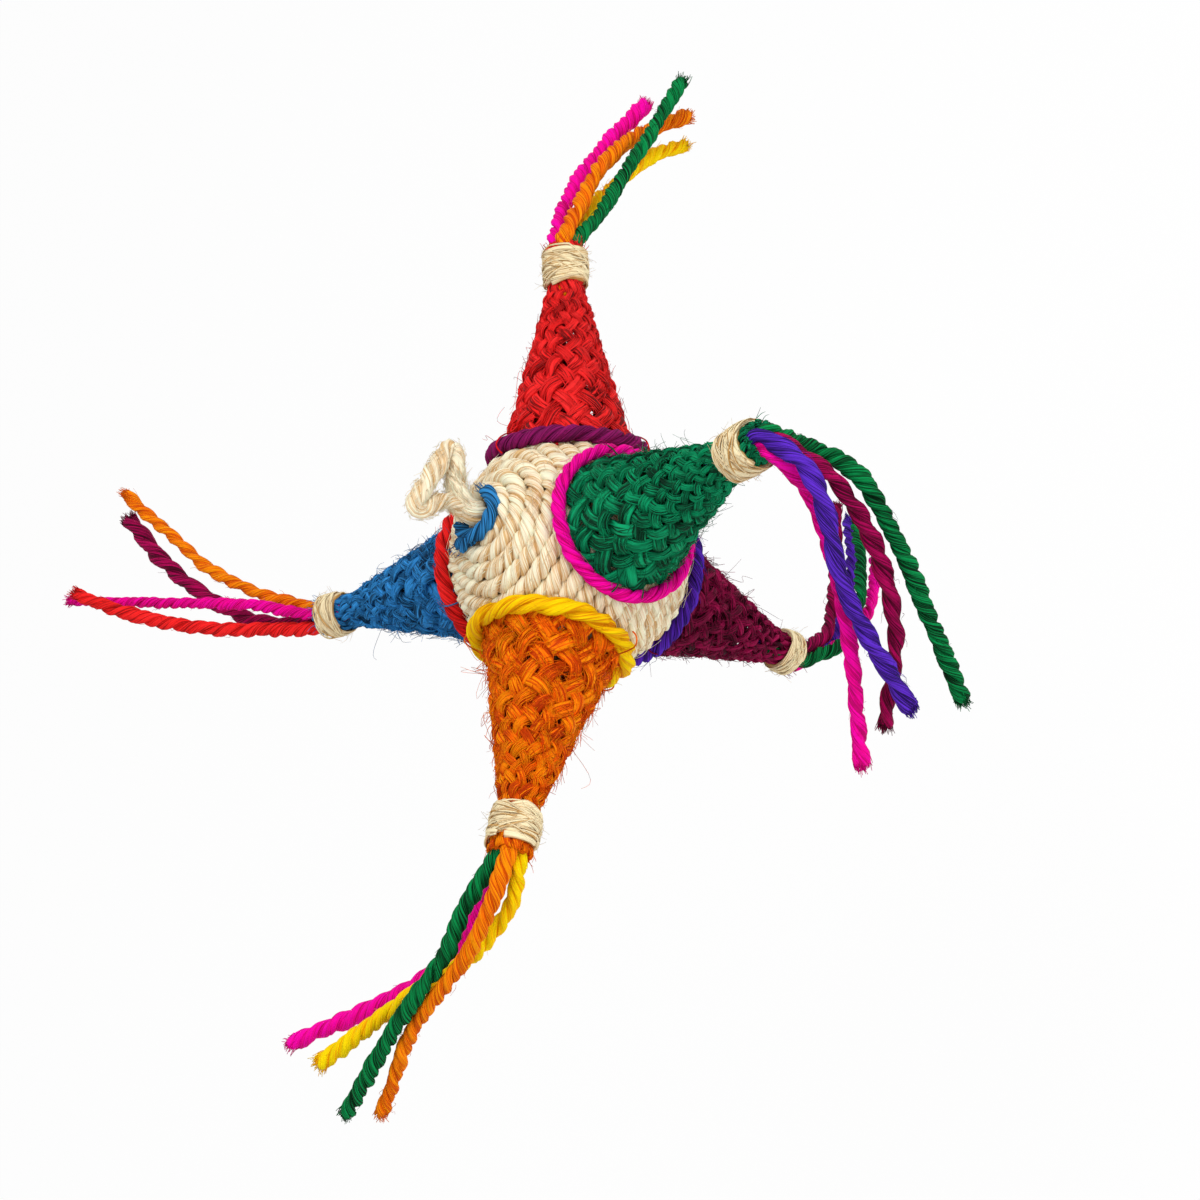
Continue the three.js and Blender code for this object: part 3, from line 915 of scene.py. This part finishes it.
def wovenCone(name, point, seed):
    rng = np.random.default_rng(seed)
    axes, neck = axesOf(point), point["neck"]
    path = strandPath(point)
    batches = [part for family in (1, -1) for part in strandFamily(axes, point, path, family, rng)]
    batches.append(coneLining(axes, point, path))
    style = coneFibres["fuzz"]
    lengths = rng.uniform(*style["length"], point["fuzz"]) * point["fuzzReach"]
    lifts = rng.uniform(*style["lift"], point["fuzz"])
    batches.append(looseFibres(axes, neck, lifts, lengths, style, rng))
    for kind in ("lying", "curls"):
        style = coneFibres[kind]
        lifts = rng.uniform(*style["lift"], point[kind])
        lengths = rng.uniform(*style["length"], point[kind])
        batches.append(looseFibres(axes, neck, lifts, lengths, style, rng))
    batches.append(rimFringe(axes, point["rim"], rng))
    finish = finishFor(name, **{**coneLook, **point["look"]})
    cone = makePiece(f"{name}_woven_cone", batches, finish)
    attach(cone, "star")
    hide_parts(f"{name}_cone")


for seed, (pointName, point) in enumerate(points.items()):
    wovenCone(pointName, point, 40 + seed)
print("cones woven")

# rope ring round the foot of each cone
ringRope = dict(
    plies=3, offset=0.84, ply=0.9, ridge=0.07, sides=14, uneven=0.06, spacing=0.5, grooveShade=1.4,
    sway=0.12,
)
ringHairs = dict(
    count=120, span=(5, 5), reach=(1.55, 1.55), lift=0.3, length=(1.5, 3.5), thick=0.06,
    curl=0.3,
)
# sewing yarns of the cone's fibre: radius and height of their stops, out of the cone, over
# the ring and into the ball
stitchYarn = dict(
    radius=0.17, sides=5, spacing=0.2, points=50, run=12, sway=0.02, growth=0.35, tone=0.6,
    stops=[
        [13.0, 26.2], [14.4, 24.6], [16.3, 23.7], [17.5, 22.7], [17.8, 21.3], [17.2, 20.1],
        [16.4, 19.4], [15.6, 18.8],
    ],
)


def stitchThreads(axes, point, rng):
    stops = np.array(stitchYarn["stops"])
    angle = np.radians(point["stitches"])[:, None]
    sway = rng.normal(0, stitchYarn["sway"], (len(angle), len(stops)))
    angle = angle + np.cumsum(sway, axis=1)
    size = 1 + stitchYarn["growth"] * (point["ringSize"] - 1)
    lines = onPoint(axes, angle, stops[:, 0] * size, stops[:, 1])
    lines = [smoothLine(line, stitchYarn["spacing"])[: stitchYarn["points"]] for line in lines]
    lines = np.stack(lines)
    tubes = roundTubes(
        lines, *bandSides(lines, -axes[2]), stitchYarn["radius"], stitchYarn["sides"]
    )
    run = np.broadcast_to(np.linspace(0, stitchYarn["run"], lines.shape[1]), lines.shape[:2])
    return batch(tubes, run, 1.0, np.full(len(lines), stitchYarn["tone"]))


def baseRing(name, point, seed):
    rng = np.random.default_rng(seed)
    axes = axesOf(point)
    threads = makePiece(f"{name}_stitches", [stitchThreads(axes, point, rng)], finishFor(name))
    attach(threads, "star")
    angle = np.linspace(0, fullTurn, 721)
    reach = tip["ringRadius"] + ringRope["sway"] * np.sin(3 * angle + seed)
    line = evenly(onPoint(axes, angle, reach, tip["ringHeight"]), ringRope["spacing"])
    own = {**ringRope, "lay": runOf(line)[-1] / point["ringLays"]}
    own.update({key: ringRope[key] * point["ringSize"] for key in ("offset", "ply")})
    rope = laidRope(line, axes[2], own, rng)
    hairs = ropeHairs(line, axes[2], ringHairs, rng)
    ring = makePiece(f"{name}_foot_rope", [rope, hairs], finishFor(point["ring"]))
    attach(ring, "star")
    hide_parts(f"{name}_base_ring")


for seed, (pointName, point) in enumerate(points.items()):
    baseRing(pointName, point, 60 + seed)
print("foot ropes laid")

# cream binding round each tip: a coil of soft twine up the neck, a few ribbons that cross it
# at shallow angles, there and back, and yarns that stray over them
bindingTwine = dict(
    pitch=1.24, spacing=0.5, girth=5, clear=0.1, flare=0.25, barrel=0.3, edge=0.3,
    crossTurns=1.7, crossSink=0.15, strayRise=0.1,
)
bands = dict(
    coil=dict(count=1, drift=0.12, width=1.42, thick=1.15, sides=12, ridge=0.1),
    crossed=dict(count=2, drift=0.5, width=1.2, thick=0.6, sides=12, ridge=0.1),
    strays=dict(count=7, drift=0.9, width=0.48, thick=0.3, sides=4, ridge=0.05),
)
bindingFuzz = dict(
    count=110, margin=3, reach=0.4, scatter=0.6, lift=(0, 0.35), length=(1.2, 3.6), thick=0.06,
    curl=0.35,
)


def wound(axes, point, band, turns, clear, seed, rng):
    # Heights run from foot to head, or there and back where there is more than one band, and
    # the radius swells in the middle and towards the mouth. Each band is a ridged oval section
    # on that helix.
    foot, head = point["bind"]
    count, girth = band["count"], bindingTwine["girth"]
    steps = int(fullTurn * girth * turns / bindingTwine["spacing"])
    angle = np.linspace(0, fullTurn * turns, steps)
    run = angle * girth
    share = angle / angle[-1] + np.zeros((count, 1))
    if count > 1:
        share = np.abs(2 * ((share + np.arange(count)[:, None] / count) % 1) - 1)
    inset = bands["coil"]["width"] / 2
    high = foot + inset + (head - foot - 2 * inset) * share
    high = high + wander(rng, run, band["drift"], 30, (count,))
    high = np.clip(high, foot + bindingTwine["edge"], head - bindingTwine["edge"])
    up = (high - foot) / (head - foot)
    swell = bindingTwine["flare"] * up + bindingTwine["barrel"] * 4 * up * (1 - up)
    reach = point["neck"] + clear + swell + wander(rng, run, 0.08, 15, (count,))
    spin = angle + seed + fullTurn * np.arange(count)[:, None] * 0.38
    outward = onPoint(axes, spin, 1.0, 0.0)
    line = onPoint(axes, spin, reach, high)
    section = evenAngles(band["sides"])
    side, lift = bandSides(line, outward)
    ridge = 1 + unevenRidges(rng, run, band["ridge"], count, band["sides"])
    ridge = ridge * (1 + wander(rng, run, 0.12, 20, (count,)))[..., None]
    wide, tall = band["width"] / 2 * np.cos(section), band["thick"] / 2 * np.sin(section)
    tubes = ovalTubes(line, side, lift, wide * ridge, tall * ridge)
    # painted shade: the sides of a band, where it meets the next, are deeper in tone
    tone = rng.uniform(0.4, 0.7, (count, 1, 1)) + 0.5 * (np.sin(section) - 0.7)
    along = run + rng.uniform(0, 300, (count, 1))
    return batch(tubes, along, 2.6 * band["width"], tone), line, outward


def tipBinding(name, point, seed):
    rng = np.random.default_rng(seed)
    axes = axesOf(point)
    foot, head = point["bind"]
    clear, crossTurns = bindingTwine["clear"], bindingTwine["crossTurns"]
    turns = (head - foot - bands["coil"]["width"]) / bindingTwine["pitch"]
    coil, line, outward = wound(axes, point, bands["coil"], turns, clear, seed, rng)
    top = clear + bands["coil"]["thick"] / 2
    crossed, strays = (
        wound(axes, point, bands[kind], crossTurns, top + rise, seed, rng)[0]
        for kind, rise in (
            ("crossed", -bindingTwine["crossSink"]), ("strays", bindingTwine["strayRise"]),
        )
    )
    count = bindingFuzz["count"]
    pick = rng.integers(bindingFuzz["margin"], line.shape[1] - bindingFuzz["margin"], count)
    ahead = unit(np.gradient(line, axis=1))[0, pick]
    lift = outward[0, pick]
    scatter = rng.uniform(-bindingFuzz["scatter"], bindingFuzz["scatter"], (count, 1))
    hairs = strayFibres(
        line[0, pick] + lift * bindingFuzz["reach"] + axes[2] * scatter,
        ahead * rng.choice([-1, 1], (count, 1)),
        lift * rng.uniform(*bindingFuzz["lift"], (count, 1)),
        rng.uniform(*bindingFuzz["length"], count), bindingFuzz, rng,
    )
    binding = makePiece(f"{name}_bound_tip", [coil, crossed, strays, hairs], finishFor("twine"))
    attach(binding, "star")
    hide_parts(f"{name}_tip_binding")


for seed, (pointName, point) in enumerate(points.items()):
    tipBinding(pointName, point, 80 + seed)
print("tips bound")

# hanging loop: one rope up the stem, round the eye and back down, in the YZ plane. Routes are
# y and height over the pivot of the swing, and the rope bends within bend of that pivot.
loopRope = dict(
    plies=3, lay=13.0, offset=1.08, ply=1.38, ridge=0.09, sides=18, uneven=0.08, spacing=0.5,
    grooveShade=0.9, growth=0.72, pivot=30.6, bend=2.0,
    route=[
        [0.1, -6.2], [0.2, -3.6], [0.8, -1.2], [3.9, 1.2], [7.6, 2.0], [10.6, 2.2], [11.5, 3.6],
        [10.2, 5.0], [7.6, 6.0], [5.2, 7.1], [1.0, 9.0], [-2.6, 10.6], [-4.6, 10.7],
        [-4.6, 8.9], [-3.2, 7.4], [-1.0, 5.2], [0.1, 3.0], [-0.4, 0.0], [-0.5, -3.0],
        [-0.1, -6.6],
    ],
)
loopHairs = dict(
    count=420, span=(10, 10), reach=(1.95, 1.95), lift=0.3, length=(0.8, 2.2), thick=0.08,
    curl=0.4,
)
# loose fibre round the foot of the loop, thinning as it climbs the first leg
loopStem = dict(
    plies=18, lay=34.0, offset=2.2, ply=0.6, ridge=0.1, sides=8, uneven=0.05, spacing=0.5,
    taper=0.55, grooveShade=0.6,
    route=[[0.0, -5.4], [0.0, -3.2], [0.5, -1.3], [2.6, 0.6], [5.0, 1.5], [7.4, 2.0]],
)
# fluff on the stem, clear of the collar
stemFluff = dict(
    count=200, span=(8, 2), reach=(2.9, 1.9), bothWays=True, lift=0.3, length=(1.0, 2.8),
    thick=0.07, curl=0.5,
)
collarRope = dict(
    plies=3, lay=11.0, offset=0.71, ply=0.88, ridge=0.09, sides=14, uneven=0.08, flare=0.12,
    dome=1.2, closing=0.8, grooveShade=1.6, spacing=0.45, radius=4.72, height=25.5, arc=(-166, 68),
    endRise=0.4, endSpread=0.3, tailArc=(-104, -134), tailReach=7.4, tailGap=0.4, tailRise=0.2,
    tailDrop=0.9,
)
collarFray = dict(count=36, scatter=0.6, lift=0.1, length=(1, 2.4), thick=0.09, curl=0.4)


def hangingLoop():
    rng = np.random.default_rng(101)
    across = np.array([1.0, 0, 0])
    pivot = loopRope["pivot"]
    batches = []
    for settings, hairs in ((loopRope, loopHairs), (loopStem, stemFluff)):
        stops = [[0.0, y, pivot + z] for y, z in settings["route"]]
        line = smoothLine(stops, settings["spacing"])
        batches.append(laidRope(line, across, settings, rng))
        batches.append(ropeHairs(line, across, hairs, rng))
    loop = makePiece("loop_rope", batches, finishFor("cream", streak=2.2, pale=1.16))
    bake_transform(loop)
    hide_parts("hanging_loop", "loop_stub")


def collarLine(arc, reach, height):
    angle = np.linspace(*np.radians(arc), len(reach))
    way = np.stack([reach * np.cos(angle), reach * np.sin(angle), height], -1)
    return evenly(way, collarRope["spacing"])


def loopCollar():
    rng = np.random.default_rng(103)
    upward = np.array([0, 0, 1.0])
    radius, height = collarRope["radius"], collarRope["height"]
    # both ends of the turn lift and spread by the fourth power of the way from its middle
    ends = np.linspace(-1, 1, 400) ** 4
    line = collarLine(
        collarRope["arc"],
        radius + collarRope["endSpread"] * ends,
        height + collarRope["endRise"] * ends,
    )
    rope = laidRope(line, upward, collarRope, rng)
    # the other end of the rope crosses out from under the collar and lies on the ball
    t = np.linspace(0, 1, 60)
    tail = collarLine(
        collarRope["tailArc"],
        radius + collarRope["tailGap"] + (collarRope["tailReach"] - radius) * t**1.5,
        height + collarRope["tailRise"] - collarRope["tailDrop"] * t,
    )
    tailRope = laidRope(tail, upward, collarRope, rng)
    count = collarFray["count"]
    ends = np.repeat([line[-1], tail[-1]], count, axis=0)
    leads = np.repeat([unit(line[-1] - line[-3]), unit(tail[-1] - tail[-3])], count, axis=0)
    fray = strayFibres(
        ends + rng.normal(0, collarFray["scatter"], (2 * count, 3)),
        leads, leads * collarFray["lift"], rng.uniform(*collarFray["length"], 2 * count),
        collarFray, rng,
    )
    finish = finishFor("blue", deep=0.2, streak=5.2, broad=1.8)
    collar = makePiece("collar_rope", [rope, tailRope, fray], finish)
    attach(collar, "star")
    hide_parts("loop_collar")


hangingLoop()
loopCollar()
print("loop and collar made")

# white room: pale floor under the ornament, soft lamps, white to the camera
room = dict(floor=-0.26, floorSize=6.0, floorGlow=0.92, floorTone=0.9, skylight=0.68)
lamps = dict(
    key=dict(way=(-0.35, 0.7, 0.8), reach=0.95, size=0.7, power=5.2),
    fill=dict(way=(0.6, -0.2, 0.8), reach=1.0, size=0.9, power=3.9),
    rear=dict(way=(0.1, 0.4, -1.0), reach=1.0, size=0.9, power=2.8),
)


def whiteWorld():
    # white where a ray comes from the camera, a mirror or glass, else the skylight's strength
    world = bpy.data.worlds.new("white_room")
    world.use_nodes = True
    world.node_tree.nodes.clear()
    sheet = Shade(world.node_tree)
    seen, mirrored, through = (
        sheet.node("LightPath", out=f"Is {ray} Ray")
        for ray in ("Camera", "Glossy", "Transmission")
    )
    direct = sheet.maths("MAXIMUM", seen, sheet.maths("MAXIMUM", mirrored, through))
    strength = room["skylight"] + direct * (1 - room["skylight"])
    glow = sheet.node("Background", {}, {"Color": (1, 1, 1, 1), "Strength": strength})
    sheet.node("OutputWorld", {}, {"Surface": glow})
    return world


def paleFloor():
    # matt, and nearly white to the camera, so that only the soft shadow shows
    half = room["floorSize"] / 2
    corners = [(-half, -half), (half, -half), (half, half), (-half, half)]
    mesh = bpy.data.meshes.new("floor")
    mesh.from_pydata([(x, y, room["floor"]) for x, y in corners], [], [(0, 1, 2, 3)])
    floor = bpy.data.objects.new("floor", mesh)
    bpy.context.scene.collection.objects.link(floor)
    material, sheet = emptyMaterial("pale_floor")
    seen = sheet.node("LightPath", out="Is Camera Ray")
    tone = room["floorTone"]
    matt = sheet.node("BsdfDiffuse", {}, {"Color": (tone, tone, tone, 1)})
    lit = sheet.node("Emission", {}, {"Color": (1, 1, 1, 1), "Strength": 1.0})
    mixed = sheet.node("MixShader", {}, {0: seen * room["floorGlow"], 1: matt, 2: lit})
    sheet.node("OutputMaterial", {}, {"Surface": mixed})
    mesh.materials.append(material)


def lightRoom():
    scene = bpy.context.scene
    scene.view_settings.view_transform = "Standard"
    scene.world = whiteWorld()
    paleFloor()
    for name, lamp in lamps.items():
        data = bpy.data.lights.new(name, "AREA")
        data.shape, data.size, data.energy = "DISK", lamp["size"], lamp["power"]
        light = bpy.data.objects.new(name, data)
        scene.collection.objects.link(light)
        back = unit(np.array(lamp["way"], float)) @ viewAxes
        right = unit(np.cross([0, 0, 1.0], back))
        place = np.array(toFrame((0, 0, 0))) + back * lamp["reach"]
        light.matrix_world = placed(np.stack([right, np.cross(back, right), back]), place)


lightRoom()
print("room lit")
